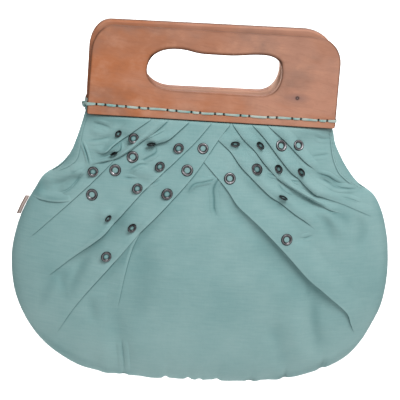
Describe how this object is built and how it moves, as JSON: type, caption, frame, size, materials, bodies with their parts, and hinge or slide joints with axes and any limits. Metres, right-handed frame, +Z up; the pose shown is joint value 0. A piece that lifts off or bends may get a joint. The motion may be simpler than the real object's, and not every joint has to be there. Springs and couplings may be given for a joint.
{
  "type": "handbag",
  "caption": "Soft cloth handbag with a folded front set with metal eyelets, laced by ribbon under a pair of leaning wooden boards that have a hand slot",
  "frame": {"origin": "midway between the two grips, at the underside of the grip bars in the middle of the hand slot, where the bag hangs from a hand or peg", "axes": "+X along the boards to the right seen from the front, +Y from the front panel to the back panel, +Z up"},
  "size_m": [0.3575, 0.0659, 0.3477],
  "materials": {
    "board_wood": "oiled reddish hardwood, satin",
    "bag_cloth": "sea-green plain-weave cotton",
    "lace_ribbon": "narrow teal ribbon, slight sheen",
    "eyelet_metal": "antiqued gunmetal",
    "tab_tape": "cream woven tape, blank"
  },
  "bodies": {
    "root": {"handle_front": "board_wood", "handle_back": "board_wood", "panel_front": "bag_cloth", "panel_back": "bag_cloth", "ribbon_front": "lace_ribbon", "ribbon_back": "lace_ribbon", "eyelet_01": "eyelet_metal", "eyelet_02": "eyelet_metal", "eyelet_03": "eyelet_metal", "eyelet_04": "eyelet_metal", "eyelet_05": "eyelet_metal", "eyelet_06": "eyelet_metal", "eyelet_07": "eyelet_metal", "eyelet_08": "eyelet_metal", "eyelet_09": "eyelet_metal", "eyelet_10": "eyelet_metal", "eyelet_11": "eyelet_metal", "eyelet_12": "eyelet_metal", "eyelet_13": "eyelet_metal", "eyelet_14": "eyelet_metal", "eyelet_15": "eyelet_metal", "eyelet_16": "eyelet_metal", "eyelet_17": "eyelet_metal", "eyelet_18": "eyelet_metal", "eyelet_19": "eyelet_metal", "eyelet_20": "eyelet_metal", "eyelet_21": "eyelet_metal", "eyelet_22": "eyelet_metal", "eyelet_23": "eyelet_metal", "eyelet_24": "eyelet_metal", "eyelet_25": "eyelet_metal", "eyelet_26": "eyelet_metal", "eyelet_27": "eyelet_metal", "seam_tab": "tab_tape"}
  },
  "joints": []
}
